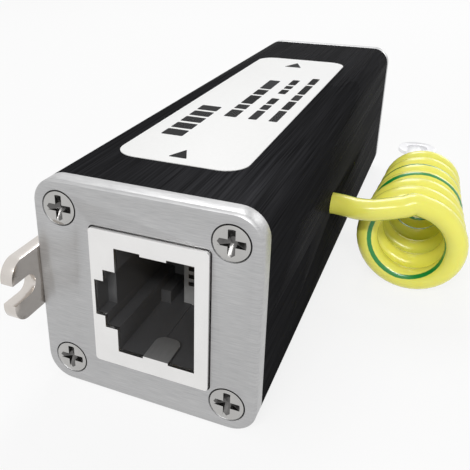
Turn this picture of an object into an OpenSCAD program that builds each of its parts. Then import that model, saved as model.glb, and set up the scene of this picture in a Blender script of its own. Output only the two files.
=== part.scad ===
// In-line surge protector for one network cable, with a coiled earth lead.
// Frame: origin at the centre of the case's flat base, X to the right,
// Y from the front socket to the rear one, Z up. Millimetres.

/* [Case] */
// Outside width of the case, left to right
case_w = 25; // [24.5:0.5:30]
// Outside height of the case
case_h = 25; // [24.5:0.5:30]
// Length of the two extruded half shells
shell_l = 80; // [76:1:110]
// Wall thickness of the half shells
shell_wall = 1.4; // [1.2:0.1:1.6]
// Radius of the case's four long corners
corner_r = 3; // [2:0.5:4]
// Height of the tongue that keys one half shell into the other
tongue_h = 1; // [0.6:0.1:1.4]
// Thickness of that tongue
tongue_t = 0.6; // [0.4:0.1:0.7]
// Depth of the grooves that hold the circuit board
slot_depth = 1.5; // [1:0.1:1.8]

/* [End plates] */
// Thickness of each end plate
plate_t = 2; // [1.6:0.1:3]
// Bevel round the outer edge of each end plate
plate_bevel = 0.25; // [0.1:0.05:0.6]
// Gap between a socket's shield and its cut-out in the plate
cutout_gap = 0.15; // [0.1:0.05:0.3]

/* [Screws] */
// Distance of each plate screw from the case's sides
screw_inset = 3.15; // [3:0.05:3.3]
// Diameter of a countersunk screw head
head_d = 3.7; // [3.4:0.1:3.9]
// Height of a screw head's cone
head_h = 0.9; // [0.7:0.1:1.1]
// Diameter of a screw's thread
thread_d = 1.9; // [1.6:0.1:2]
// Length of a plate screw, head included
plate_screw_l = 8; // [6:1:12]
// Length of a strip screw, head included
strip_screw_l = 4; // [3.5:0.5:5]
// Length of one arm pair of the cross recess
cross_l = 2.9; // [2.4:0.1:3.1]
// Width of an arm of the cross recess
cross_w = 0.75; // [0.5:0.05:0.9]
// Depth of the cross recess
cross_depth = 0.8; // [0.4:0.1:0.9]

/* [Socket] */
// Size of a socket's shield across the contacts and the latch
shield_w = 13.15; // [12.9:0.05:13.4]
// Size of a socket's shield along the row of contacts
shield_h = 16.2; // [16:0.1:16.8]
// Length of a socket from its face to its back
shield_d = 18.4; // [18:0.2:22]
// Sheet thickness of the shield
shield_t = 0.5; // [0.3:0.05:0.6]
// Distance of the shield's face in front of the plate
shield_proud = 0.35; // [0.1:0.05:1]
// Distance of the shield's middle from the case's middle, to the right
socket_x = 0.775; // [0.6:0.025:0.9]
// Width of the plug hollow along the row of contacts
plug_w = 12.56; // [12.3:0.02:12.7]
// Height of the plug hollow, from the latch side to the contacts
plug_h = 8.79; // [8.6:0.01:8.9]
// Depth of the plug hollow
plug_depth = 14.5; // [14:0.1:15]
// Width of the long latch groove
latch_w = 7; // [6.6:0.1:7.4]
// Depth of the long latch groove
latch_h = 1.43; // [1.2:0.01:1.5]
// Width of the latch's catch pocket
catch_w = 4.26; // [3.8:0.02:4.6]
// Depth of the latch's catch pocket
catch_h = 1.07; // [0.8:0.01:1.1]
// Spacing of the eight contacts
contact_pitch = 1.016; // [0.99:0.002:1.04]
// Width of one contact
contact_w = 0.45; // [0.35:0.05:0.5]
// Thickness of one contact
contact_t = 0.35; // [0.25:0.05:0.35]

/* [Circuit board] */
// Thickness of the circuit board
board_t = 1.6; // [1.4:0.1:1.6]
// Side of a gas tube's square electrodes
tube_side = 5; // [4:0.25:6]
// Length of a gas tube
tube_l = 8; // [6:0.5:10]
// Length of a diode array's package
array_l = 5; // [4:0.25:6]

/* [Mounting strip] */
// Width of the forked strip
strip_w = 7.3; // [7:0.1:8]
// Thickness of the forked strip
strip_t = 1.5; // [1.2:0.1:2.5]
// Distance that each fork stands out past its end plate
strip_reach = 4.65; // [4:0.05:12]
// Height of the strip's middle above the case's middle
strip_rise = 0.6; // [0.4:0.1:1]
// Width of each fork's open slot
fork_slot_w = 2.4; // [2:0.1:3]
// Depth of each fork's open slot
fork_slot_l = 3.7; // [3:0.1:4]
// Distance between the two strip screws
strip_screw_spacing = 56; // [40:1:60]

/* [Label] */
// Width of the label on the top face
label_w = 15.3; // [10:0.1:16]
// Length of the label
label_l = 56.3; // [40:0.1:60]
// Thickness of the label
label_t = 0.1; // [0.05:0.05:0.2]
// Corner radius of the label
label_r = 2.8; // [1:0.1:4]

/* [Earth lead] */
// Diameter of the insulated earth lead
lead_d = 3; // [2.6:0.1:3.2]
// Radius of the coil's front turn, at the lead's middle
coil_front_r = 6; // [5:0.1:7]
// Radius of the coil's back turn, at the lead's middle
coil_back_r = 4.6; // [4:0.1:6]
// Number of turns in the coil
coil_turns = 6.5; // [5:0.5:8]
// Distance from one turn to the next
coil_pitch = 4.05; // [3.6:0.05:4.6]

/* [Ring terminal] */
// Outside diameter of the ring
ring_d = 8; // [7.5:0.1:10]
// Diameter of the ring's hole
ring_hole_d = 4.3; // [3.2:0.1:5.3]
// Thickness of the ring's sheet
ring_t = 0.8; // [0.6:0.1:1]
// Outside diameter of the crimped barrel
barrel_d = 3.6; // [3.2:0.1:4.2]
// Length of the crimped barrel
barrel_l = 4.8; // [4:0.1:6]
// Width of the tongue between barrel and ring
tongue_w = 3.4; // [2.6:0.1:3.6]
// Distance from the barrel to the middle of the ring
ring_reach = 7; // [6:0.1:9]

/* [Hidden] */
$fn = 48;

// Running gap between parts that slide or drop into each other
gap = 0.05;
// Amount by which a cut runs past the face it opens
cut = 1;
case_l = shell_l + 2 * plate_t;

// Least radius of an inside corner of the shells
least_r = 0.5;

// Screw posts in the shells' corners, and the screws' holes
post_wall = 0.9;
post_d = thread_d + 2 * post_wall;
post_hole_d = thread_d + 2 * gap;
post_x = case_w / 2 - screw_inset;
post_z = case_h / 2 - screw_inset;
screw_play = 0.3;
plate_hole_d = thread_d + screw_play;
sink_d = head_d + screw_play;

// Socket, measured from its own face and from the case's middle
socket_front = -case_l / 2 - shield_proud;
socket_left = socket_x - shield_w / 2;
shield_r = 0.4;
bezel_contact = 1.48;
plug_right = socket_x + shield_w / 2 - bezel_contact;
plug_left = plug_right - plug_h;
catch_depth = 2.6;
comb_depth = 11.35;
comb_rise = 2.62;
comb_left = plug_left + comb_rise;
comb_bar = 0.6;
stop_depth = 10.45;
stop_w = 1.3;
stop_h = 1.68;
floor_step_rise = 3.67;
floor_step_x = plug_left + floor_step_rise;
floor_step = 0.12;
pin_rows = [15.6, 17.2];
contact_back = 0.25;
contact_bend = 2.6;
// How far each contact's groove starts ahead of the contact's bend
groove_lead = 0.5;
contact_tip_rise = 4.1;
contact_tip_depth = 12.6;
contact_tip = [plug_left + contact_tip_rise, contact_tip_depth];
finger_inset = 0.3;
finger_x = comb_left + finger_inset;
finger_w = 2.9;
finger_l = 3.95;
finger_t = 0.22;
finger_r = 1;
finger_root = 0.3;
leg_w = 1.4;
leg_y = 9;
// How far the contacts' pins and the shield's legs stand out behind the circuit board
pin_end = 0.6;
leg_end = 0.3;
pin_hole_d = 0.8;

// The strip's screws go into the upper shell, with some metal above their countersinks
sink_land = 0.3;
strip_screw_z = strip_rise + strip_w / 2 - sink_d / 2 - sink_land;
strip_outer_r = 2;
strip_inner_r = 0.4;

// Middle of the label on the top face
label_x = -0.45;
label_y = -5.15;

// Circuit board, standing on edge against the sockets, with play at all four edges
board_play = 0.3;
board_x = socket_left - board_t;
board_l = shell_l - 2 * board_play;
board_h = case_h - 2 * shell_wall - 2 * board_play;
slot_w = board_t + 2 * gap;
slot_rib = 0.8;

// Gas tubes and diode arrays on the board
tube_rows = [-14, 1];
tube_z = tube_side / 2 + lead_d;
electrode_t = 1;
electrode_step = 0.2;
array_y = 14;
array_z = 5;
array_w = 3.8;
array_h = 1.5;
array_stand = 0.15;
foot_l = 1;
foot_w = 0.4;
foot_t = 0.2;

// Earth lead, from the case wall to its coil and on to its terminal
lead_y = -9.1;
lead_sides = 8;
core_d = 1.6;
// Bared core between the board and the insulation, and its solder joint
inner_strip_l = 2.5;
core_end = 0.5;
solder_w = 0.7;
solder_h = 1;
// Bared core between the insulation and the terminal's barrel
tail_strip_l = 1;
lead_hole_d = lead_d + 2 * gap;
exit_x = case_w / 2;
exit_z = case_h / 2;
// Steps of the lead's route, counted from where it leaves the case
lead_route = [
    [2, -0.2, 0],
    [4, -0.5, 0.1],
    [6, -0.7, 0.3],
    [8, -0.5, 0.7]
];
// Place of the coil's front face, counted from the case wall and the case's middle
coil_out = 10.6;
coil_x = exit_x + coil_out;
coil_start_y = -7.7;
coil_l = coil_turns * coil_pitch + lead_d / 2;
coil_tilt = atan((coil_front_r - coil_back_r) / coil_l);
coil_axis = [0, cos(coil_tilt), -sin(coil_tilt)];
coil_up = [0, sin(coil_tilt), cos(coil_tilt)];
coil_front_mid = [coil_x, coil_start_y, (coil_front_r + lead_d / 2) * cos(coil_tilt)];
coil_back_mid = coil_front_mid + coil_l * coil_axis;
// Sideways distances from the coil's middle at which the lead joins and leaves it
lead_meet_x = 0.4;
tail_leave_x = -1.2;
tail_start = coil_back_mid - coil_back_r * coil_up + [tail_leave_x, 0, 0];
ring_mid = [19.9, 53.9];
barrel_back = ring_mid[1] - ring_reach;
barrel_front = barrel_back - barrel_l;
// Closed end of the barrel's bore, and the length of bore that the core leaves free
barrel_end = 0.5;
core_short = 0.3;
tail_z = lead_d / 2;
tail_route = [
    [21, 26, tail_z],
    [20.3, 32, tail_z],
    [19.9, 38, tail_z]
];

// Moves a piece drawn round the case's middle to its height above the base
module in_case() {
    translate([0, 0, case_h / 2]) children();
}

// The rear end is the front end turned half a turn about the X axis
module at_rear() {
    rotate([180, 0, 0]) children();
}

module rounded_rectangle(w, h, r) {
    square([w - 2 * r, h], center = true);
    square([w, h - 2 * r], center = true);
    for (x = [-1, 1], y = [-1, 1]) {
        translate([x * (w / 2 - r), y * (h / 2 - r)]) circle(r);
    }
}

// Stands a profile drawn in X and Z up and draws it out along Y
module along_y(from, length) {
    translate([0, from + length, 0]) rotate([90, 0, 0]) linear_extrude(length) children();
}

// Section of one half shell, the upper one, in X and Z
module shell_section() {
    inner_w = case_w - 2 * shell_wall;
    inner_h = case_h - 2 * shell_wall;
    inner_r = max(corner_r - shell_wall, least_r);
    slot_x = board_x + board_t / 2;
    room_w = 2 * (max(-socket_left, socket_left + shield_w) + gap);
    difference() {
        union() {
            intersection() {
                difference() {
                    rounded_rectangle(case_w, case_h, corner_r);
                    rounded_rectangle(inner_w, inner_h, inner_r);
                }
                translate([-case_w, 0]) square([2 * case_w, case_h]);
            }
            // Posts for the plate screws, each joined to both walls of its corner
            for (side = [-1, 1]) {
                translate([side * post_x, post_z]) circle(d = post_d);
                translate([side * post_x - post_d / 2, post_z])
                    square([post_d, inner_h / 2 - post_z + gap]);
                translate([side * (post_x + inner_w / 2 + gap) / 2, post_z])
                    square([inner_w / 2 + gap - post_x, post_d], center = true);
            }
            // Ribs on both sides of each board groove
            for (side = [-1, 1]) {
                translate([side * slot_x - slot_w / 2 - slot_rib, inner_h / 2 - slot_depth])
                    square([slot_w + 2 * slot_rib, slot_depth + gap]);
            }
            // Tongue on the left edge, in the inner half of the wall
            translate([-inner_w / 2 - tongue_t, -tongue_h]) square([tongue_t, 2 * tongue_h]);
        }
        for (side = [-1, 1]) {
            translate([side * post_x, post_z]) circle(d = post_hole_d);
            translate([side * slot_x - slot_w / 2, 0]) square([slot_w, inner_h / 2]);
        }
        // Room for the sockets, which a low case would otherwise close in on
        translate([-room_w / 2, 0]) square([room_w, shield_h / 2 + gap]);
        // Rebate in the right edge for the other half's tongue
        translate([inner_w / 2 - cut, -cut])
            square([cut + tongue_t + gap, cut + tongue_h + gap]);
    }
}

module half_shell() {
    along_y(-shell_l / 2, shell_l) shell_section();
}

// Hole on the seam of the right wall through which the lead leaves
module lead_hole() {
    translate([case_w / 2 - shell_wall - cut, lead_y, 0])
        rotate([0, 90, 0]) cylinder(d = lead_hole_d, h = shell_wall + 2 * cut);
}

module upper_shell() {
    color([0.06, 0.06, 0.065]) in_case() difference() {
        half_shell();
        lead_hole();
        for (end = [-1, 1]) {
            translate([-case_w / 2 - cut, end * strip_screw_spacing / 2, strip_screw_z])
                rotate([0, 90, 0]) cylinder(d = post_hole_d, h = shell_wall + 2 * cut);
        }
    }
}

module lower_shell() {
    color([0.06, 0.06, 0.065]) in_case() difference() {
        rotate([0, 180, 0]) half_shell();
        lead_hole();
    }
}

// Plate lying in X and Y from Z = 0 up, its upper edge bevelled all round
module bevelled_plate(w, h, t, r, bevel) {
    module bar(across, along) {
        half = across / 2;
        rotate([90, 0, 0]) linear_extrude(along, center = true) polygon([
            [-half, 0], [half, 0], [half, t - bevel],
            [half - bevel, t], [bevel - half, t], [-half, t - bevel]
        ]);
    }
    bar(w, h - 2 * r);
    rotate([0, 0, 90]) bar(h, w - 2 * r);
    for (x = [-1, 1], y = [-1, 1]) {
        translate([x * (w / 2 - r), y * (h / 2 - r), 0]) {
            cylinder(r = r, h = t - bevel);
            translate([0, 0, t - bevel]) cylinder(r1 = r, r2 = r - bevel, h = bevel);
        }
    }
}

// Countersunk hole whose mouth is at Z = 0, going down
module countersink() {
    translate([0, 0, -head_h - case_w]) cylinder(d = plate_hole_d, h = case_w + head_h);
    translate([0, 0, -head_h - gap]) cylinder(d1 = plate_hole_d, d2 = sink_d, h = head_h);
    translate([0, 0, -gap]) cylinder(d = sink_d, h = cut);
}

// Countersunk cross-recessed screw whose head is flush with Z = 0
module countersunk_screw(length) {
    difference() {
        union() {
            translate([0, 0, -head_h]) cylinder(d1 = thread_d, d2 = head_d, h = head_h);
            translate([0, 0, -length]) cylinder(d = thread_d, h = length - head_h + gap);
        }
        // Cross recess whose arms rise from its middle to the rim
        intersection() {
            for (turn = [0, 90]) {
                rotate([0, 0, turn]) translate([-cross_l / 2, -cross_w / 2, -cross_depth])
                    cube([cross_l, cross_w, cross_depth + cut]);
            }
            union() {
                translate([0, 0, -cross_depth]) cylinder(d1 = cross_w, d2 = cross_l, h = cross_depth);
                cylinder(d = cross_l, h = cut);
            }
        }
    }
}

// Places something at the four plate screws, Z pointing out of the front
module at_plate_screws() {
    for (x = [-1, 1], z = [-1, 1]) {
        translate([x * post_x, -case_l / 2, z * post_z]) rotate([90, 0, 0]) children();
    }
}

module end_plate() {
    difference() {
        translate([0, -shell_l / 2, 0]) rotate([90, 0, 0])
            bevelled_plate(case_w, case_h, plate_t, corner_r, plate_bevel);
        translate([socket_x, 0, 0]) along_y(-case_l / 2 - cut, plate_t + 2 * cut)
            rounded_rectangle(shield_w + 2 * cutout_gap, shield_h + 2 * cutout_gap,
                shield_r + cutout_gap);
        at_plate_screws() countersink();
    }
}

module front_plate() {
    color([0.72, 0.72, 0.73]) in_case() end_plate();
}

module rear_plate() {
    color([0.72, 0.72, 0.73]) in_case() at_rear() end_plate();
}

module front_plate_screws() {
    color([0.7, 0.7, 0.7]) in_case() at_plate_screws() countersunk_screw(plate_screw_l);
}

module rear_plate_screws() {
    color([0.7, 0.7, 0.7]) in_case() at_rear() at_plate_screws() countersunk_screw(plate_screw_l);
}

// Outline of the plug hollow in X and Z, with its two latch steps on the left
module plug_outline() {
    translate([plug_left, -plug_w / 2]) square([plug_h, plug_w]);
    translate([plug_left - latch_h, -latch_w / 2]) square([latch_h + cut, latch_w]);
    translate([plug_left - latch_h - catch_h, -catch_w / 2])
        square([latch_h + catch_h + cut, catch_w]);
}

// Folded sheet can round the socket, open towards the circuit board
module jack_shield() {
    inner_x = socket_left - cut;
    inner_w = shield_w - shield_t + cut;
    inner_z = shield_h / 2 - shield_t;
    difference() {
        translate([socket_x, 0, 0]) along_y(socket_front, shield_d)
            rounded_rectangle(shield_w, shield_h, shield_r);
        translate([inner_x, socket_front + shield_t, -inner_z])
            cube([inner_w, shield_d - 2 * shield_t, 2 * inner_z]);
        along_y(socket_front - cut, shield_t + 2 * cut) plug_outline();
    }
    shield_finger();
    mirror([0, 0, 1]) shield_finger();
    shield_leg();
    mirror([0, 0, 1]) shield_leg();
}

// Earthing finger bent in from the face, lying along the hollow's lower wall
module shield_finger() {
    translate([finger_x, socket_front, -plug_w / 2 - finger_root])
        cube([finger_w, shield_t, finger_root + gap + finger_t]);
    translate([finger_x, socket_front + shield_t / 2, -plug_w / 2 + gap])
        linear_extrude(finger_t) {
            square([finger_w, finger_l - shield_t / 2 - finger_r]);
            translate([finger_r, 0]) square([finger_w - 2 * finger_r, finger_l - shield_t / 2]);
            for (x = [finger_r, finger_w - finger_r]) {
                translate([x, finger_l - shield_t / 2 - finger_r]) circle(finger_r);
            }
        }
}

// Leg that goes through the circuit board
module shield_leg() {
    translate([board_x - leg_end, socket_front + leg_y, shield_h / 2 - shield_t])
        cube([board_t + leg_end + shield_t, leg_w, shield_t]);
}

module front_jack_shield() {
    color([0.8, 0.8, 0.8]) in_case() jack_shield();
}

module rear_jack_shield() {
    color([0.8, 0.8, 0.8]) in_case() at_rear() jack_shield();
}

function contact_z(i) = (i - 3.5) * contact_pitch;
function pin_y(i) = socket_front + pin_rows[i % 2];

// Moulded body of the socket
module jack_insert() {
    half_h = shield_h / 2 - shield_t - gap;
    right = socket_x + shield_w / 2 - shield_t - gap;
    face = socket_front + shield_t + gap;
    back = socket_front + shield_d - shield_t - gap;
    groove_w = contact_w + 2 * gap;
    groove_start = socket_front + contact_bend - groove_lead;
    difference() {
        translate([socket_left, face, -half_h])
            cube([right - socket_left, back - face, 2 * half_h]);
        // Plug hollow with its long latch groove
        translate([plug_left, socket_front, -plug_w / 2]) cube([plug_h, comb_depth, plug_w]);
        translate([plug_left, socket_front, -plug_w / 2])
            cube([comb_left - plug_left, plug_depth, plug_w]);
        translate([plug_left - latch_h, socket_front, -latch_w / 2])
            cube([latch_h + cut, plug_depth, latch_w]);
        // Short pocket where the latch's nose catches
        translate([plug_left - latch_h - catch_h, socket_front, -catch_w / 2])
            cube([catch_h + cut, catch_depth, catch_w]);
        // Shallow relief in the floor and the roof beside the contacts
        translate([floor_step_x, socket_front, -plug_w / 2 - floor_step])
            cube([plug_right - floor_step_x, comb_depth, plug_w + 2 * floor_step]);
        for (i = [0:7]) {
            // Comb slot that guides the contact's free end
            translate([comb_left + comb_bar, socket_front + comb_depth - cut, contact_z(i) - groove_w / 2])
                cube([plug_right - comb_left - comb_bar, plug_depth - comb_depth + cut, groove_w]);
            // Groove behind the hollow's right wall, and the pin's way to the board
            translate([plug_right - cut, groove_start, contact_z(i) - groove_w / 2])
                cube([cut + contact_back + contact_t + gap,
                      pin_y(i) - groove_start + contact_t / 2 + gap, groove_w]);
            translate([socket_left - cut, pin_y(i) - contact_t / 2 - gap, contact_z(i) - groove_w / 2])
                cube([plug_right - socket_left + cut, contact_t + 2 * gap, groove_w]);
        }
    }
    // Stops for the plug's nose beside the latch groove
    for (side = [-1, 1]) {
        translate([plug_left - gap, socket_front + stop_depth,
                   side > 0 ? plug_w / 2 - stop_h : -plug_w / 2 - gap])
            cube([stop_w + gap, plug_depth - stop_depth + gap, stop_h + gap]);
    }
}

module front_jack_insert() {
    color([0.1, 0.1, 0.1]) in_case() jack_insert();
}

module rear_jack_insert() {
    color([0.1, 0.1, 0.1]) in_case() at_rear() jack_insert();
}

// One sprung contact: solder pin, back run, bend and free end, drawn in X and Y
module jack_contact(pin) {
    run_x = plug_right + contact_back;
    bend_y = socket_front + contact_bend;
    tip = [contact_tip[0], socket_front + contact_tip[1]];
    lean = atan2(run_x + contact_t / 2 - tip[0], tip[1] - bend_y);
    spring_l = norm([run_x + contact_t / 2 - tip[0], tip[1] - bend_y]);
    pin_x = board_x - pin_end;
    linear_extrude(contact_w, center = true) {
        translate([run_x, bend_y]) square([contact_t, pin - bend_y + contact_t / 2]);
        translate([run_x + contact_t / 2, bend_y]) circle(d = contact_t);
        translate([run_x + contact_t / 2, bend_y]) rotate(lean)
            translate([-contact_t / 2, 0]) square([contact_t, spring_l]);
        translate([pin_x, pin - contact_t / 2]) square([run_x - pin_x + contact_t / 2, contact_t]);
    }
}

module jack_contacts() {
    for (i = [0:7]) {
        translate([0, 0, contact_z(i)]) jack_contact(pin_y(i));
    }
}

module front_jack_contacts() {
    color([0.85, 0.65, 0.25]) in_case() jack_contacts();
}

module rear_jack_contacts() {
    color([0.85, 0.65, 0.25]) in_case() at_rear() jack_contacts();
}

// Holes in the board for one socket's pins and shield legs
module jack_board_holes() {
    for (i = [0:7]) {
        translate([board_x - cut, pin_y(i), contact_z(i)])
            rotate([0, 90, 0]) cylinder(d = pin_hole_d, h = board_t + 2 * cut);
    }
    for (side = [-1, 1]) {
        translate([board_x - cut, socket_front + leg_y - gap,
                   side * (shield_h / 2 - shield_t / 2) - shield_t / 2 - gap])
            cube([board_t + 2 * cut, leg_w + 2 * gap, shield_t + 2 * gap]);
    }
}

module circuit_board() {
    color([0.1, 0.35, 0.2]) in_case() difference() {
        translate([board_x, -board_l / 2, -board_h / 2]) cube([board_t, board_l, board_h]);
        jack_board_holes();
        at_rear() jack_board_holes();
        translate([board_x - cut, lead_y, 0])
            rotate([0, 90, 0]) cylinder(d = core_d + 2 * gap, h = board_t + 2 * cut);
    }
}

// Gas discharge tube with two end electrodes and one in the middle
module gas_tube() {
    translate([tube_side / 2, 0, 0]) {
        rotate([-90, 0, 0]) translate([0, 0, -tube_l / 2])
            cylinder(d = tube_side - 2 * electrode_step, h = tube_l);
        for (y = [-1, 0, 1]) {
            translate([0, y * (tube_l - electrode_t) / 2, 0])
                cube([tube_side, electrode_t, tube_side], center = true);
        }
    }
}

module gas_tubes() {
    color([0.85, 0.83, 0.8]) in_case() for (y = tube_rows, z = [-1, 1]) {
        translate([socket_left, y, z * tube_z]) gas_tube();
    }
}

// Eight-lead diode array standing on the board
module diode_array() {
    // Bent lead, its foot on the board
    module foot() {
        translate([0, -foot_w / 2, array_w / 2 - gap]) {
            cube([foot_t, foot_w, foot_l]);
            cube([array_h / 2 + array_stand, foot_w, foot_t]);
        }
    }
    translate([array_stand, -array_l / 2, -array_w / 2]) cube([array_h, array_l, array_w]);
    for (i = [0:3]) {
        translate([0, (i - 1.5) * array_l / 4, 0]) {
            foot();
            mirror([0, 0, 1]) foot();
        }
    }
}

module diode_arrays() {
    color([0.12, 0.12, 0.12]) in_case() for (z = [-1, 1]) {
        translate([socket_left, array_y, z * array_z]) diode_array();
    }
}

// One prong of a fork, its tip at X = 0, with a large outer and a small inner corner
module prong(length) {
    prong_w = (strip_w - fork_slot_w) / 2;
    inner_r = strip_inner_r;
    outer_r = min(strip_outer_r, prong_w - inner_r);
    translate([0, fork_slot_w / 2]) {
        translate([outer_r, 0]) square([length - outer_r, prong_w]);
        translate([inner_r, 0]) square([outer_r, prong_w - outer_r]);
        translate([0, inner_r]) square([outer_r, prong_w - outer_r - inner_r + gap]);
        translate([inner_r, inner_r]) circle(inner_r);
        intersection() {
            translate([outer_r, prong_w - outer_r]) circle(outer_r);
            square([length, prong_w]);
        }
    }
}

// Half of the strip's outline, from its forked tip at X = 0
module fork_half(length) {
    slot_end = fork_slot_l - fork_slot_w / 2;
    prong(length);
    mirror([0, 1]) prong(length);
    difference() {
        translate([slot_end, -fork_slot_w / 2 - gap]) square([length - slot_end, fork_slot_w + 2 * gap]);
        translate([slot_end, 0]) circle(d = fork_slot_w);
    }
}

module mounting_strip() {
    strip_l = case_l + 2 * strip_reach;
    color([0.75, 0.75, 0.76]) in_case() translate([-case_w / 2 - strip_t, 0, 0]) difference() {
        rotate([90, 0, 90]) linear_extrude(strip_t) translate([0, strip_rise]) {
            translate([-strip_l / 2, 0]) fork_half(strip_l / 2);
            mirror([1, 0]) translate([-strip_l / 2, 0]) fork_half(strip_l / 2);
        }
        for (end = [-1, 1]) {
            translate([0, end * strip_screw_spacing / 2, strip_screw_z])
                rotate([0, -90, 0]) countersink();
        }
    }
}

module strip_screws() {
    color([0.7, 0.7, 0.7]) in_case() for (end = [-1, 1]) {
        translate([-case_w / 2 - strip_t, end * strip_screw_spacing / 2, strip_screw_z])
            rotate([0, -90, 0]) countersunk_screw(strip_screw_l);
    }
}

module label() {
    color([0.95, 0.95, 0.95]) translate([label_x, label_y, case_h])
        linear_extrude(label_t) rounded_rectangle(label_w, label_l, label_r);
}

// Insulated stretch from the case wall to the board's earth hole
module inner_lead() {
    color([0.95, 0.9, 0.2]) in_case() translate([socket_left + inner_strip_l, lead_y, 0])
        rotate([0, 90, 0]) cylinder(d = lead_d, h = exit_x - socket_left - inner_strip_l);
}

// Bared core, soldered into the board
module inner_lead_core() {
    color([0.8, 0.5, 0.3]) in_case() translate([board_x - core_end, lead_y, 0]) rotate([0, 90, 0]) {
        cylinder(d = core_d, h = core_end + board_t + inner_strip_l);
        translate([0, 0, core_end + board_t])
            cylinder(d1 = core_d + 2 * solder_w, d2 = core_d, h = solder_h);
    }
}

function unit(v) = v / norm(v);
function along(p, i) = i == 0 ? unit(p[1] - p[0])
    : i == len(p) - 1 ? unit(p[i] - p[i - 1])
    : unit(unit(p[i + 1] - p[i]) + unit(p[i] - p[i - 1]));
function ring(at, direction, r, sides) =
    let (u = unit(cross(direction, [0, 0, 1])), v = cross(u, direction))
    [for (k = [0:sides - 1])
        let (a = 360 * (k + 0.5) / sides)
        at + r * (cos(a) * u + sin(a) * v)];
// A ring slid along a direction until it lies in a plane
function slid_to(points, direction, at, normal) =
    [for (q = points) q + direction * ((at - q) * normal) / (direction * normal)];

// Tube through rings of points, closed at both ends
module tube_through(rings) {
    n = len(rings[0]);
    m = len(rings);
    polyhedron(
        points = [for (r = rings, q = r) q],
        faces = concat(
            [[for (k = [n - 1:-1:0]) k]],
            [for (i = [0:m - 2], k = [0:n - 1])
                [i * n + k, i * n + (k + 1) % n, (i + 1) * n + (k + 1) % n, (i + 1) * n + k]],
            [[for (k = [0:n - 1]) (m - 1) * n + k]]
        )
    );
}

// Free lead from the wall to the coil's front face, cut along that face
module earth_lead() {
    start = [exit_x, lead_y, exit_z];
    points = concat([start], [for (step = lead_route) start + step]);
    last = points[len(points) - 1];
    meet = [coil_x + lead_meet_x, coil_start_y, last[2]];
    heading = unit(meet - last);
    rings = [for (i = [0:len(points) - 1])
        ring(points[i], i == 0 ? [1, 0, 0] : i == len(points) - 1 ? heading : along(points, i),
             lead_d / 2, lead_sides)];
    end_ring = slid_to(rings[len(rings) - 1], heading, coil_front_mid, coil_axis);
    color([0.95, 0.9, 0.2]) tube_through(concat(rings, [end_ring]));
}

// Closed outer shape of the coil: a tapered ring lying on the floor
module earth_coil() {
    r = lead_d / 2;
    color([0.95, 0.9, 0.2]) translate(coil_front_mid) rotate([-90 - coil_tilt, 0, 0])
        rotate_extrude() polygon([
            [coil_front_r - r, 0], [coil_front_r + r, 0],
            [coil_back_r + r, coil_l], [coil_back_r - r, coil_l]
        ]);
}

// Free lead from the coil's back face to the terminal's barrel
module earth_tail() {
    points = concat([tail_start], tail_route, [[ring_mid[0], barrel_front - tail_strip_l, tail_z]]);
    rings = [for (i = [0:len(points) - 1])
        ring(points[i], i == 0 ? coil_axis : i == len(points) - 1 ? [0, 1, 0] : along(points, i),
             lead_d / 2, lead_sides)];
    color([0.95, 0.9, 0.2]) tube_through(rings);
}

// Bare ring terminal, its ring and tongue flat on the floor
module ring_terminal() {
    barrel_r = barrel_d / 2;
    color([0.8, 0.8, 0.8]) translate([ring_mid[0], ring_mid[1], 0]) difference() {
        union() {
            cylinder(d = ring_d, h = ring_t);
            translate([-tongue_w / 2, -ring_reach, 0]) cube([tongue_w, ring_reach, ring_t]);
            translate([0, -ring_reach, barrel_r]) rotate([90, 0, 0])
                cylinder(r = barrel_r, h = barrel_l);
        }
        translate([0, 0, -cut]) cylinder(d = ring_hole_d, h = ring_t + 2 * cut);
        translate([0, -ring_reach - barrel_l - cut, tail_z]) rotate([-90, 0, 0])
            cylinder(d = core_d + 2 * gap, h = barrel_l - barrel_end + cut);
    }
}

// Bared core crimped in the terminal's barrel
module tail_core() {
    color([0.8, 0.5, 0.3]) translate([ring_mid[0], barrel_front - tail_strip_l, tail_z])
        rotate([-90, 0, 0]) cylinder(d = core_d, h = tail_strip_l + barrel_l - barrel_end - core_short);
}

upper_shell();
lower_shell();
front_plate();
rear_plate();
front_plate_screws();
rear_plate_screws();
front_jack_shield();
rear_jack_shield();
front_jack_insert();
rear_jack_insert();
front_jack_contacts();
rear_jack_contacts();
circuit_board();
gas_tubes();
diode_arrays();
mounting_strip();
strip_screws();
label();
inner_lead();
inner_lead_core();
earth_lead();
earth_coil();
earth_tail();
tail_core();
ring_terminal();
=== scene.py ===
import math

import bpy
from mathutils import Matrix, Vector


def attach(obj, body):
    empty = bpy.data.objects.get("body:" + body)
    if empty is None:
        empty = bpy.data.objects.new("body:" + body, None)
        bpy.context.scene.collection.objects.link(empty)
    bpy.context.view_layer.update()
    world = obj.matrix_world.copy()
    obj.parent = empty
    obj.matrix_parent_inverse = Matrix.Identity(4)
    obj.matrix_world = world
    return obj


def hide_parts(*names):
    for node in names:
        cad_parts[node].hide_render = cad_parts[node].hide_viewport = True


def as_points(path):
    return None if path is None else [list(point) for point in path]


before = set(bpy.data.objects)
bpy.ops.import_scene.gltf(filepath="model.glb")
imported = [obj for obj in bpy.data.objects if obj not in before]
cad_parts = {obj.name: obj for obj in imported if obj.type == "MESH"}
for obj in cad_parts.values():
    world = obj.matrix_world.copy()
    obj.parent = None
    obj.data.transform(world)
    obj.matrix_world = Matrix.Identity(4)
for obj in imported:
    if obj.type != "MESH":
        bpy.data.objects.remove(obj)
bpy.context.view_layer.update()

# Everything below is in metres in the part's own frame: X to the right, Y from the
# front socket to the rear one, Z up from the case's flat base.
MM = 0.001

CASE_HALF = 12.5 * MM
PLATE_FACE = 42 * MM
MID_HEIGHT = 12.5 * MM
SCREW_INSET = 3.15 * MM
LEAD_D = 3.0 * MM


def point(x, y, z):
    """A point given in millimetres."""
    return Vector((x, y, z)) * MM


# Camera at the photograph's viewpoint

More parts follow.
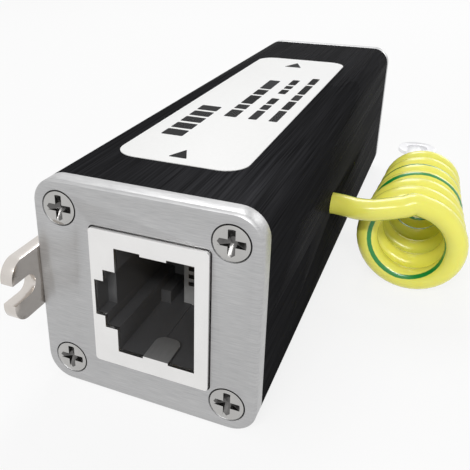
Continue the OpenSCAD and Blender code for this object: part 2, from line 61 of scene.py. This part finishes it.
IMAGE_SIZE = 470
FOCAL_PX = 620.66
CENTRE_PX = (185.74, 181.80)
SENSOR = 36.0
CAMERA_AT = point(25.669, -88.960, 49.057)
CAMERA_RIGHT = Vector((0.91429, 0.40506, -0.00146))
CAMERA_DOWN = Vector((0.15739, -0.35857, -0.92014))
CAMERA_FORWARD = Vector((-0.37324, 0.84104, -0.39159))


def add_camera():
    data = bpy.data.cameras.new("camera")
    data.sensor_width = SENSOR
    data.lens = FOCAL_PX / IMAGE_SIZE * SENSOR
    data.shift_x = 0.5 - CENTRE_PX[0] / IMAGE_SIZE
    data.shift_y = CENTRE_PX[1] / IMAGE_SIZE - 0.5
    data.clip_start = 5 * MM
    data.clip_end = 10.0
    camera = bpy.data.objects.new("camera", data)
    bpy.context.scene.collection.objects.link(camera)
    turn = Matrix((CAMERA_RIGHT, -CAMERA_DOWN, -CAMERA_FORWARD)).transposed()
    camera.matrix_world = Matrix.Translation(CAMERA_AT) @ turn.to_4x4()
    bpy.context.scene.camera = camera


# Helpers for materials and meshes

def linear(hex_code):
    """Linear colour of an sRGB hex value."""
    shares = [int(hex_code[i:i + 2], 16) / 255 for i in (0, 2, 4)]
    return [s / 12.92 if s <= 0.04045 else ((s + 0.055) / 1.055) ** 2.4 for s in shares] + [1.0]


def add_node(tree, kind, inputs=None, **settings):
    """Adds a node, sets its properties, and sets or links each named input."""
    node = tree.nodes.new(kind)
    for name, value in settings.items():
        setattr(node, name, value)
    for name, value in (inputs or {}).items():
        if isinstance(value, bpy.types.NodeSocket):
            tree.links.new(value, node.inputs[name])
        else:
            node.inputs[name].default_value = value
    return node


def start_material(name):
    """An empty material with its output, as (material, node tree)."""
    material = bpy.data.materials.new(name)
    material.use_nodes = True
    material.node_tree.nodes.clear()
    return material, material.node_tree


def end_material(tree, shader):
    add_node(tree, "ShaderNodeOutputMaterial", {"Surface": shader.outputs[0]})


def between(tree, value, low, high, out_low, out_high):
    """Maps a value from one range to another."""
    return add_node(tree, "ShaderNodeMapRange", {
        "Value": value, "From Min": low, "From Max": high,
        "To Min": out_low, "To Max": out_high,
    }).outputs["Result"]


def blended(tree, share, first, second):
    """Colour between two colours."""
    node = add_node(tree, "ShaderNodeMix", data_type="RGBA")
    for slot, value in ((0, share), (6, first), (7, second)):
        if isinstance(value, bpy.types.NodeSocket):
            tree.links.new(value, node.inputs[slot])
        else:
            node.inputs[slot].default_value = value
    return node.outputs[2]


def grain(tree, spacing, detail=2.0):
    """Noise on Object coordinates whose cells are spacing (x, y, z) long, in metres."""
    place = add_node(tree, "ShaderNodeTexCoord").outputs["Object"]
    stretched = add_node(tree, "ShaderNodeMapping", {
        "Vector": place, "Scale": [1 / s for s in spacing],
    }).outputs["Vector"]
    return add_node(tree, "ShaderNodeTexNoise", {
        "Vector": stretched, "Scale": 1.0, "Detail": detail, "Roughness": 0.6,
    }).outputs["Fac"]


def bumped(tree, height, depth, strength=1.0):
    """Normal of a bump whose height map spans depth, in metres."""
    return add_node(tree, "ShaderNodeBump", {
        "Height": height, "Distance": depth, "Strength": strength,
    }).outputs["Normal"]


def deselect():
    bpy.ops.object.select_all(action="DESELECT")


def choose(piece):
    """Makes one object the only selected and the active one."""
    deselect()
    piece.select_set(True)
    bpy.context.view_layer.objects.active = piece


def smooth(piece, degrees=32):
    choose(piece)
    bpy.ops.object.shade_smooth_by_angle(angle=math.radians(degrees))


def choose_faces(piece, test):
    """Opens the piece in edit mode with only the faces selected that pass the test."""
    choose(piece)
    bpy.ops.object.mode_set(mode="EDIT")
    bpy.ops.mesh.select_mode(type="FACE")
    bpy.ops.mesh.select_all(action="DESELECT")
    bpy.ops.object.mode_set(mode="OBJECT")
    for face in piece.data.polygons:
        face.select = test(face)
    bpy.ops.object.mode_set(mode="EDIT")


def close_edit():
    bpy.ops.object.mode_set(mode="OBJECT")


def apply_modifier(piece, kind, **settings):
    choose(piece)
    bpy.ops.object.modifier_add(type=kind)
    modifier = piece.modifiers[-1]
    for name, value in settings.items():
        setattr(modifier, name, value)
    bpy.ops.object.modifier_apply(modifier=modifier.name)


def ease_edges(piece, width, segments=2, degrees=32):
    """Rounds every edge sharper than the angle, and smooths the rest."""
    apply_modifier(piece, "BEVEL", width=width, segments=segments, limit_method="ANGLE",
                   angle_limit=math.radians(degrees), harden_normals=False)
    smooth(piece, degrees)


def finish_piece(piece, material, slot):
    """Gives a finished piece its material and its ride; the slot is not used."""
    piece.data.materials.clear()
    piece.data.materials.append(material)
    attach(piece, "root")
    return piece


def ease_node(node_name, material, slot, width, segments=2):
    """Copy of a node with its sawn, stamped or moulded edges rounded, in the node's place."""
    piece = bpy.data.objects.new(node_name + "_eased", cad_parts[node_name].data.copy())
    bpy.context.scene.collection.objects.link(piece)
    choose(piece)
    bpy.ops.mesh.customdata_custom_splitnormals_clear()
    bpy.ops.object.mode_set(mode="EDIT")
    bpy.ops.mesh.select_all(action="SELECT")
    bpy.ops.mesh.remove_doubles(threshold=0.002 * MM)
    bpy.ops.mesh.dissolve_limited(angle_limit=math.radians(0.6))
    close_edit()
    ease_edges(piece, width, segments)
    finish_piece(piece, material, slot)
    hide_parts(node_name)
    return piece


# Materials

def black_anodised_aluminium():
    """Extruded aluminium, brushed along its length and dyed black.

    The dyed oxide swallows nearly all light: only faint streaks show, and little at a low angle."""
    material, tree = start_material("black_anodised_aluminium")
    # The real scratches are under 0.05 mm wide and are drawn coarser to show
    fine = grain(tree, (0.12 * MM, 16 * MM, 0.12 * MM), 3.0)
    broad = grain(tree, (0.9 * MM, 50 * MM, 0.9 * MM), 2.0)
    tone = between(tree, fine, 0.35, 0.65, 0.0, 1.0)
    shader = add_node(tree, "ShaderNodeBsdfPrincipled", {
        "Base Color": blended(tree, tone, linear("1e1e1f"), linear("303032")),
        "Metallic": 0.16,
        "Specular IOR Level": 0.0,
        "Specular Tint": (0.25, 0.25, 0.25, 1.0),
        "Roughness": between(tree, broad, 0.35, 0.65, 0.24, 0.34),
        "Normal": bumped(tree, fine, 0.010 * MM, 0.5),
    })
    end_material(tree, shader)
    return material


def brushed_aluminium():
    """Milled plate brushed from side to side: pale satin with short horizontal scratches."""
    material, tree = start_material("brushed_aluminium")
    fine = grain(tree, (2.2 * MM, 0.5 * MM, 0.1 * MM), 4.0)
    broad = grain(tree, (9 * MM, 2 * MM, 0.8 * MM), 2.0)
    tone = between(tree, fine, 0.3, 0.7, 0.0, 1.0)
    shader = add_node(tree, "ShaderNodeBsdfPrincipled", {
        "Base Color": blended(tree, tone, linear("ababac"), linear("bfbfbf")),
        "Metallic": 1.0,
        "Roughness": between(tree, broad, 0.35, 0.65, 0.40, 0.46),
        "Normal": bumped(tree, fine, 0.005 * MM, 0.4),
    })
    end_material(tree, shader)
    return material


def satin_steel(name, dark, light, rough):
    """Plated sheet or screw steel: smooth pale metal, its tone drifting a little over millimetres."""
    material, tree = start_material(name)
    drift = grain(tree, (3 * MM, 3 * MM, 3 * MM), 2.0)
    rolled = grain(tree, (0.8 * MM, 0.8 * MM, 0.1 * MM), 2.0)
    shader = add_node(tree, "ShaderNodeBsdfPrincipled", {
        "Base Color": blended(tree, drift, linear(dark), linear(light)),
        "Metallic": 1.0,
        "Roughness": between(tree, rolled, 0.3, 0.7, rough - 0.015, rough + 0.02),
    })
    end_material(tree, shader)
    return material


def finger_nickel_painted_light():
    """The shield's spring finger as a duller grey copy of the shield sheet: painted light, standing in for the front
    light that the finger catches.
    """
    material, tree = start_material("finger_nickel_painted_light")
    finger_streaks = grain(tree, (0.12 * MM, 2 * MM, 0.12 * MM), 3.0)
    shader = add_node(tree, "ShaderNodeBsdfPrincipled", {
        "Base Color": blended(tree, finger_streaks, linear("7c7c7c"), linear("8e8e8e")),
        "Metallic": 0.4,
        "Roughness": between(tree, finger_streaks, 0.3, 0.7, 0.42, 0.5),
    })
    end_material(tree, shader)
    return material


def moulded_black_plastic():
    """Injection-moulded polyester with a fine matt grain."""
    material, tree = start_material("moulded_black_plastic")
    texture = grain(tree, (0.12 * MM, 0.12 * MM, 0.12 * MM), 3.0)
    shader = add_node(tree, "ShaderNodeBsdfPrincipled", {
        "Base Color": blended(tree, texture, linear("3e3e3f"), linear("4c4c4d")),
        "Roughness": between(tree, texture, 0.3, 0.7, 0.34, 0.42),
        "Normal": bumped(tree, texture, 0.01 * MM, 0.3),
    })
    end_material(tree, shader)
    return material


def gold_flash():
    """Phosphor bronze with a thin gold plating: bright and warm."""
    material, tree = start_material("gold_flash")
    mottle = grain(tree, (0.3 * MM, 0.3 * MM, 0.3 * MM))
    shader = add_node(tree, "ShaderNodeBsdfPrincipled", {
        "Base Color": blended(tree, mottle, linear("d9a94a"), linear("efc76b")),
        "Metallic": 1.0,
        "Roughness": 0.22,
    })
    end_material(tree, shader)
    return material


def comb_plastic_painted_light():
    """The contact comb's face as a lighter grey copy of the socket plastic: painted light on a face that the lamps
    leave in shade.
    """
    material, tree = start_material("comb_plastic_painted_light")
    texture = grain(tree, (0.15 * MM, 0.15 * MM, 0.15 * MM), 3.0)
    shader = add_node(tree, "ShaderNodeBsdfPrincipled", {
        "Base Color": blended(tree, texture, linear("8e8e8e"), linear("9c9c9c")),
        "Roughness": between(tree, texture, 0.3, 0.7, 0.4, 0.5),
        "Normal": bumped(tree, texture, 0.01 * MM, 0.3),
    })
    end_material(tree, shader)
    return material


def board_laminate():
    """Glass-epoxy board under green solder mask, the weave just showing through."""
    material, tree = start_material("board_laminate")
    place = add_node(tree, "ShaderNodeTexCoord").outputs["Object"]
    weave = add_node(tree, "ShaderNodeTexWave", {
        "Vector": place, "Scale": 1 / (6.0 * MM), "Distortion": 0.4,
    }, bands_direction="Z").outputs["Fac"]
    shader = add_node(tree, "ShaderNodeBsdfPrincipled", {
        "Base Color": blended(tree, weave, linear("0f5a34"), linear("13683d")),
        "Roughness": 0.32,
    })
    end_material(tree, shader)
    return material


def glazed_ceramic():
    """White ceramic body of a gas tube, lightly glazed."""
    material, tree = start_material("glazed_ceramic")
    mottle = grain(tree, (0.4 * MM, 0.4 * MM, 0.4 * MM))
    shader = add_node(tree, "ShaderNodeBsdfPrincipled", {
        "Base Color": blended(tree, mottle, linear("d8d5cd"), linear("e6e3dc")),
        "Roughness": 0.3,
    })
    end_material(tree, shader)
    return material


def label_film():
    """White polyester film with a soft satin face."""
    material, tree = start_material("label_film")
    fibre = grain(tree, (0.25 * MM, 0.25 * MM, 0.25 * MM))
    shader = add_node(tree, "ShaderNodeBsdfPrincipled", {
        "Base Color": blended(tree, fibre, linear("f1f1f0"), linear("f8f8f7")),
        "Roughness": 0.5,
        "Specular IOR Level": 0.25,
        "Normal": bumped(tree, fibre, 0.003 * MM, 0.2),
    })
    end_material(tree, shader)
    return material


def black_ink():
    """Thermal-transfer print: dense black, a little duller than the film."""
    material, tree = start_material("black_ink")
    specks = grain(tree, (0.06 * MM, 0.06 * MM, 0.06 * MM))
    shader = add_node(tree, "ShaderNodeBsdfPrincipled", {
        "Base Color": blended(tree, specks, linear("0a0a0b"), linear("171719")),
        "Roughness": 0.6,
        "Specular IOR Level": 0.08,
    })
    end_material(tree, shader)
    return material


# Width of each green stripe, as a share of the way round the lead
STRIPE_SHARE = 0.066


def striped_insulation():
    """Soft PVC, bright yellow with two opposite green stripes, glossy from the extruder's die.

    The wire's own UV map holds the way round the lead in V, with the stripes at 0 and a half."""
    material, tree = start_material("striped_insulation")
    around = add_node(tree, "ShaderNodeSeparateXYZ", {
        "Vector": add_node(tree, "ShaderNodeUVMap", uv_map="around").outputs["UV"],
    }).outputs["Y"]
    away = add_node(tree, "ShaderNodeMath", {0: around, 1: 0.25}, operation="PINGPONG").outputs[0]
    edge = STRIPE_SHARE / 2
    striped = between(tree, away, edge - 0.004, edge + 0.004, 1.0, 0.0)
    ripple = grain(tree, (1.4 * MM, 1.4 * MM, 1.4 * MM))
    yellow = blended(tree, ripple, linear("fdf664"), linear("fffb74"))
    shader = add_node(tree, "ShaderNodeBsdfPrincipled", {
        "Base Color": blended(tree, striped, yellow, linear("1a8f3c")),
        "Roughness": 0.27,
        "Coat Weight": 0.4,
        "Coat Roughness": 0.14,
        "Subsurface Weight": 0.15,
        "Subsurface Radius": (1.0, 0.8, 0.2),
        "Subsurface Scale": 0.5 * MM,
        "Normal": bumped(tree, ripple, 0.02 * MM, 0.12),
    })
    end_material(tree, shader)
    return material


def plain_insulation():
    """The same PVC where the lead is hidden inside the case."""
    material, tree = start_material("plain_insulation")
    ripple = grain(tree, (0.8 * MM, 0.8 * MM, 0.8 * MM))
    shader = add_node(tree, "ShaderNodeBsdfPrincipled", {
        "Base Color": blended(tree, ripple, linear("fdf664"), linear("fffb74")),
        "Roughness": 0.26,
    })
    end_material(tree, shader)
    return material


def bare_copper():
    """Bare copper strands, drawn along the core."""
    material, tree = start_material("bare_copper")
    strands = grain(tree, (0.25 * MM, 4 * MM, 0.25 * MM))
    shader = add_node(tree, "ShaderNodeBsdfPrincipled", {
        "Base Color": blended(tree, strands, linear("b5652f"), linear("dd8d55")),
        "Metallic": 1.0,
        "Roughness": 0.3,
        "Normal": bumped(tree, strands, 0.05 * MM, 0.6),
    })
    end_material(tree, shader)
    return material


# The earth lead: one length of wire from the case wall to the ring terminal

LEAD_EXIT = point(12.5, -9.1, 12.5)
# Route of the free lead up to the coil, in millimetres
LEAD_ROUTE = [(14, -9.2, 12.5), (16, -9.6, 12.5), (18, -9.7, 12.7), (20, -9.3, 13.1), (21.8, -8.6, 13.4)]
COIL_FRONT = point(23.19, -7.94, 7.51)
COIL_AXIS = Vector((-0.011, 0.9998, -0.018)).normalized()
COIL_RIGHT = Vector((0.9998, 0.011, 0.0)).normalized()
COIL_UP = COIL_RIGHT.cross(COIL_AXIS)
# Radius of the lead's middle at the coil's front, half way along and at its back
COIL_RADII = (6.14 * MM, 5.16 * MM, 4.51 * MM)
COIL_FULL_TURNS = 6.6
COIL_TURNS = 6.375
COIL_PITCH = 4.018 * MM
COIL_START = 0.16
POINTS_PER_TURN = 40
# Route from the coil's last turn down to the floor and back to the terminal
TAIL_ROUTE = [
    (24.3, 18.3, 2.35), (22.9, 19.6, 1.65), (21.9, 21.6, 1.5), (21.3, 24, 1.5), (20.8, 27, 1.5),
    (20.4, 30.5, 1.5), (20.1, 34, 1.5), (19.9, 38, 1.5),
]
TAIL_END = point(19.9, 41.1, 1.5)
# Where round the lead the first stripe lies, in degrees, against the turns wound so far: 0 faces
# outwards from the coil's axis, 90 the front, 180 inwards and 270 the back
STRIPE_TURNS = [
    (0.0, 156), (0.25, 160), (0.5, 114), (0.75, 106), (1.0, 88), (1.5, 66), (1.8, 76), (2.0, 88),
    (2.25, 86), (2.6, 66), (2.8, 38), (3.0, 20), (3.25, 16), (3.5, 6), (4.0, -6), (4.5, -18), (5.0, -45), (6.4, -60),
]


def coil_point(turns):
    """Middle of the lead after so many turns, wound from the top to the right, down, left and up."""
    angle = COIL_START + turns * math.tau
    s = turns / COIL_FULL_TURNS
    front, middle, back = COIL_RADII
    r = front * (1 - s) * (1 - 2 * s) + 4 * middle * s * (1 - s) - back * s * (1 - 2 * s)
    along = COIL_AXIS * COIL_PITCH * turns
    return COIL_FRONT + along + COIL_RIGHT * r * math.sin(angle) + COIL_UP * r * math.cos(angle)


def smooth_route(points, per_span=6):
    """Catmull-Rom points through a given route, from its second to its last but one."""
    found = []
    for a, b, c, d in zip(points, points[1:], points[2:], points[3:]):
        for k in range(per_span):
            t = k / per_span
            found.append(0.5 * (2 * b + (c - a) * t + (2 * a - 5 * b + 4 * c - d) * t * t
                                + (3 * b - 3 * c + d - a) * t ** 3))
    return found + [points[-2]]


def lead_line():
    """The lead's middle line, with the turns wound so far at each point."""
    count = int(COIL_TURNS * POINTS_PER_TURN)
    coil_turns = [COIL_TURNS * k / count for k in range(count + 1)]
    coil = [coil_point(t) for t in coil_turns]
    lead_in = [LEAD_EXIT - Vector((2 * MM, 0, 0)), LEAD_EXIT, *[point(*p) for p in LEAD_ROUTE], coil[0], coil[7]]
    lead_out = [coil[-8], coil[-1], *[point(*p) for p in TAIL_ROUTE], TAIL_END, TAIL_END + Vector((0, 3 * MM, 0))]
    before = smooth_route(lead_in)
    after = smooth_route(lead_out)
    line = before[:-1] + coil + after[1:]
    turns = [0.0] * (len(before) - 1) + coil_turns + [COIL_TURNS] * (len(after) - 1)
    return line, turns


def stripe_angle(turns):
    """Angle of the stripe, eased between the listed places."""
    for (t0, a0), (t1, a1) in zip(STRIPE_TURNS, STRIPE_TURNS[1:]):
        if turns <= t1:
            share = (turns - t0) / (t1 - t0)
            return math.radians(a0 + (a1 - a0) * share)
    return math.radians(STRIPE_TURNS[-1][1])


def make_lead():
    """Tube swept along the lead's line, with the way round the lead in its UV map."""
    sides = 24
    line, turns = lead_line()
    outward = Vector((0, 0, 1))
    verts, uvs = [], []
    length = 0.0
    for i, at in enumerate(line):
        ahead = (line[min(i + 1, len(line) - 1)] - line[max(i - 1, 0)]).normalized()
        if 0 < turns[i] < COIL_TURNS:
            outward = at - COIL_FRONT - COIL_AXIS * (at - COIL_FRONT).dot(COIL_AXIS)
        outward = (outward - ahead * outward.dot(ahead)).normalized()
        front = ahead.cross(outward).normalized()
        if turns[i] < COIL_TURNS and front.dot(COIL_AXIS) > 0:
            front = -front
        length += (at - line[i - 1]).length if i else 0.0
        start = stripe_angle(turns[i])
        for k in range(sides):
            a = start + math.tau * k / sides
            verts.append(at + (outward * math.cos(a) + front * math.sin(a)) * LEAD_D / 2)
        uvs.append(length)
    faces, corner_uvs = [], []
    for i in range(len(line) - 1):
        for k in range(sides):
            n = (k + 1) % sides
            faces.append([i * sides + k, i * sides + n, (i + 1) * sides + n, (i + 1) * sides + k])
            corner_uvs += [(uvs[i], k / sides), (uvs[i], (k + 1) / sides),
                           (uvs[i + 1], (k + 1) / sides), (uvs[i + 1], k / sides)]
    for first, ring in ((0, reversed(range(sides))), (len(line) - 1, range(sides))):
        faces.append([first * sides + k for k in ring])
        corner_uvs += [(0.0, 0.0)] * sides
    mesh = bpy.data.meshes.new("earth_wire")
    mesh.from_pydata(verts, [], faces)
    layer = mesh.uv_layers.new(name="around")
    for loop, uv in zip(layer.data, corner_uvs):
        loop.uv = uv
    wire = bpy.data.objects.new("earth_wire", mesh)
    bpy.context.scene.collection.objects.link(wire)
    choose(wire)
    bpy.ops.object.mode_set(mode="EDIT")
    bpy.ops.mesh.select_all(action="SELECT")
    bpy.ops.mesh.normals_make_consistent(inside=False)
    bpy.ops.object.mode_set(mode="OBJECT")
    smooth(wire, 50)
    finish_piece(wire, striped_insulation(), "lead_insulation")
    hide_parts("earth_lead", "earth_coil", "earth_tail")
    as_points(line)


# Label print: plain bars where the lines of small print run, and two plain arrows

LABEL_TOP = 25.1
INK_THICKNESS = 0.02 * MM
# Each line of print: nearest and farthest X, first Y, then the marks' lengths, all in millimetres
PRINT_LINES = [
    (-6.0, -3.2, -25.0, (2.2, 2.2, 2.2, 2.2, 2.2)),
    (-1.6, 0.1, -15.3, (3.4, 2.2, 4.6, 3.0, 5.6)),
    (1.75, 2.9, -15.3, (4.2, 2.4, 3.2)),
    (1.75, 2.9, -1.6, (2.6, 1.9, 3.4)),
    (4.45, 5.6, -15.2, (5.2, 4.4, 3.0, 5.6, 4.2)),
]
MARK_GAP = 0.6
ARROWS = [(-0.75, -31.7, 2.6), (-0.75, 16.5, 3.4)]


def ink_patch(corners):
    """Flat patch on the label's face, from its corners in millimetres, with rounded corners."""
    deselect()
    bpy.ops.mesh.primitive_circle_add(vertices=len(corners), radius=MM, fill_type="NGON")
    patch = bpy.context.object
    for vert, (x, y) in zip(patch.data.vertices, corners):
        vert.co = point(x, y, LABEL_TOP)
    apply_modifier(patch, "BEVEL", affect="VERTICES", width=0.18 * MM, segments=3)
    return patch


def print_label():
    patches = []
    for x_near, x_far, y, lengths in PRINT_LINES:
        for length in lengths:
            patches.append(ink_patch([(x_near, y), (x_far, y), (x_far, y + length), (x_near, y + length)]))
            y += length + MARK_GAP
    for x, y, size in ARROWS:
        patches.append(ink_patch([(x - size * 0.42, y), (x + size * 0.42, y), (x, y + size)]))
    deselect()
    for patch in patches:
        patch.select_set(True)
    bpy.context.view_layer.objects.active = patches[0]
    bpy.ops.object.join()
    print_face = bpy.context.object
    print_face.name = "label_print"
    bpy.ops.object.mode_set(mode="EDIT")
    bpy.ops.mesh.select_all(action="SELECT")
    bpy.ops.mesh.normals_make_consistent(inside=False)
    close_edit()
    if print_face.data.polygons[0].normal.z < 0:
        print_face.data.flip_normals()
    apply_modifier(print_face, "SOLIDIFY", thickness=INK_THICKNESS, offset=1.0)
    finish_piece(print_face, black_ink(), "label_film")


# Places of a piece with a finish of their own: painted shade in the screws' recesses, painted light on the shield's
# spring finger and on the comb's face

# A screw's recess lies this far behind its head's face, and this close to its axis
RECESS_DEPTHS = (0.05 * MM, 1.2 * MM)
RECESS_REACH = 1.5 * MM
# The spring finger lies inside the shield's window, behind its flange
FINGER_BEHIND = 0.9 * MM
FINGER_HEIGHTS = (5.2 * MM, 12 * MM)
FINGER_REACH = 4 * MM
# The comb's face stands this far from the case's middle, and begins at this X
COMB_FACE = 31.0 * MM
COMB_LEFT = -0.5 * MM


def second_finish(piece, material, test):
    """Gives the faces whose centre passes the test their own material."""
    piece.data.materials.append(material)
    for face in piece.data.polygons:
        if test(face.center):
            face.material_index = 1


def in_recess(at):
    """Whether a place on a plate screw lies in its cross recess."""
    nearest, farthest = RECESS_DEPTHS
    post = CASE_HALF - SCREW_INSET
    off = math.hypot(abs(at.x) - post, abs(at.z - MID_HEIGHT) - post)
    return nearest < PLATE_FACE - abs(at.y) < farthest and off < RECESS_REACH


def on_finger(at):
    """Whether a place on a socket's shield lies on its spring finger, front or rear."""
    low, high = FINGER_HEIGHTS
    height = at.z if at.y < 0 else 2 * MID_HEIGHT - at.z
    return abs(at.y) < PLATE_FACE - FINGER_BEHIND and low < height < high and abs(at.x) < FINGER_REACH


def on_comb(at):
    """Whether a place on a socket's insert lies on the face of its contact comb."""
    return abs(abs(at.y) - COMB_FACE) < 0.15 * MM and at.x > COMB_LEFT


# Stage

# How much of the background's own white shows over the floor's lit surface
BACKGROUND_GLOW = 0.82
# Strength of the sky as a light, and as it is seen
SKY_LIGHT = 0.42
SKY_SEEN = 1.0


def background_rays(tree):
    """1 for what the camera sees, directly, mirrored or through a clear piece, and 0 for light."""
    paths = add_node(tree, "ShaderNodeLightPath")
    seen = paths.outputs["Is Camera Ray"]
    for ray in ("Is Glossy Ray", "Is Transmission Ray"):
        seen = add_node(tree, "ShaderNodeMath", {
            0: seen, 1: paths.outputs[ray],
        }, operation="MAXIMUM").outputs[0]
    return seen


def pale_floor():
    """Matt white floor that stays near white in the background and keeps a soft shadow."""
    material, tree = start_material("pale_floor")
    share = between(tree, background_rays(tree), 0.0, 1.0, 0.0, BACKGROUND_GLOW)
    matt = add_node(tree, "ShaderNodeBsdfDiffuse", {"Color": linear("f2f2f2")})
    glow = add_node(tree, "ShaderNodeEmission", {"Color": (1, 1, 1, 1), "Strength": 1.0})
    mixed = add_node(tree, "ShaderNodeMixShader", {0: share, 1: matt.outputs[0], 2: glow.outputs[0]})
    end_material(tree, mixed)
    return material


def add_floor():
    deselect()
    bpy.ops.mesh.primitive_plane_add(size=6.0, location=(0, 0, 0))
    floor = bpy.context.object
    floor.name = "floor"
    floor.data.materials.append(pale_floor())


def add_lamp(name, at, size, watts, towards=(0, 0, 12)):
    data = bpy.data.lights.new(name, "AREA")
    data.shape = "RECTANGLE"
    data.size, data.size_y = size
    data.energy = watts
    lamp = bpy.data.objects.new(name, data)
    bpy.context.scene.collection.objects.link(lamp)
    lamp.location = point(*at)
    lamp.rotation_mode = "QUATERNION"
    lamp.rotation_quaternion = (point(*towards) - lamp.location).to_track_quat("-Z", "Y")


def add_light():
    world = bpy.data.worlds.new("world")
    bpy.context.scene.world = world
    world.use_nodes = True
    tree = world.node_tree
    tree.nodes.clear()
    strength = between(tree, background_rays(tree), 0.0, 1.0, SKY_LIGHT, SKY_SEEN)
    sky = add_node(tree, "ShaderNodeBackground", {"Color": (1, 1, 1, 1), "Strength": strength})
    add_node(tree, "ShaderNodeOutputWorld", {"Surface": sky.outputs[0]})
    add_lamp("key", (-90, 310, 420), (0.22, 0.22), 0.85)
    add_lamp("edge_light", (200, 430, 190), (0.2, 0.16), 0.25)
    add_lamp("front_light", (60, -380, 330), (0.3, 0.05), 1.05)


# Making the scene

add_camera()

shell = black_anodised_aluminium()
plate = brushed_aluminium()
screw_steel = satin_steel("nickel_screw_steel", "aeadab", "bcbbb9", 0.14)
shield = satin_steel("nickel_shield_sheet", "e4e3e2", "ecebea", 0.2)
# The strip steel's warm tint is painted reflection: it stands in for the brownish reflection on the strip's faces
strip = satin_steel("satin_strip_steel", "cac4be", "d6d1cc", 0.22)
plastic = moulded_black_plastic()
gold = gold_flash()
laminate = board_laminate()
ceramic = glazed_ceramic()
film = label_film()
inner_pvc = plain_insulation()
copper = bare_copper()
tinned = satin_steel("tinned_terminal_copper", "e2e2e4", "eeeef0", 0.3)

# Nodes shown as copies with eased edges: material, slot, and the edge's width
EASED_NODES = {
    "upper_shell": (shell, "anodised_aluminium", 0.12 * MM),
    "lower_shell": (shell, "anodised_aluminium", 0.12 * MM),
    "front_plate": (plate, "brushed_plate", 0.06 * MM),
    "rear_plate": (plate, "brushed_plate", 0.06 * MM),
    "front_plate_screws": (screw_steel, "nickel_steel", 0.05 * MM),
    "rear_plate_screws": (screw_steel, "nickel_steel", 0.05 * MM),
    "strip_screws": (screw_steel, "nickel_steel", 0.05 * MM),
    "front_jack_shield": (shield, "socket_shield", 0.11 * MM),
    "rear_jack_shield": (shield, "socket_shield", 0.11 * MM),
    "front_jack_insert": (plastic, "socket_plastic", 0.07 * MM),
    "rear_jack_insert": (plastic, "socket_plastic", 0.07 * MM),
    "mounting_strip": (strip, "strip_metal", 0.16 * MM),
    "label": (film, "label_film", 0.03 * MM),
}
# Nodes shown as they are, small or hidden inside the case
NODE_FINISHES = {
    "diode_arrays": plastic, "front_jack_contacts": gold, "rear_jack_contacts": gold,
    "circuit_board": laminate, "gas_tubes": ceramic,
    "inner_lead": inner_pvc, "inner_lead_core": copper, "tail_core": copper,
}
terminal = ease_node("ring_terminal", tinned, "tinned_terminal", 0.12 * MM)
make_lead()
eased = {name: ease_node(name, *finish) for name, finish in EASED_NODES.items()}
# Darker copy of the screw steel for the screws' cross recesses: painted shade
recess_painted_shade = satin_steel("recess_steel_painted_shade", "5e5d5c", "6b6a69", 0.24)
finger_painted_light = finger_nickel_painted_light()
comb = comb_plastic_painted_light()
for end in ("front", "rear"):
    second_finish(eased[end + "_plate_screws"], recess_painted_shade, in_recess)
    # The spring finger gets a duller grey copy of the shield sheet: painted light where it catches the front light
    second_finish(eased[end + "_jack_shield"], finger_painted_light, on_finger)
    # The comb's face gets a lighter grey copy of the socket plastic: painted light, so it looks lit where the lamps
    # leave it in shade
    second_finish(eased[end + "_jack_insert"], comb, on_comb)
print_label()
for name, material in NODE_FINISHES.items():
    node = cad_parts[name]
    node.data.materials.clear()
    node.data.materials.append(material)

add_floor()
add_light()

bpy.context.scene.view_settings.view_transform = "Standard"
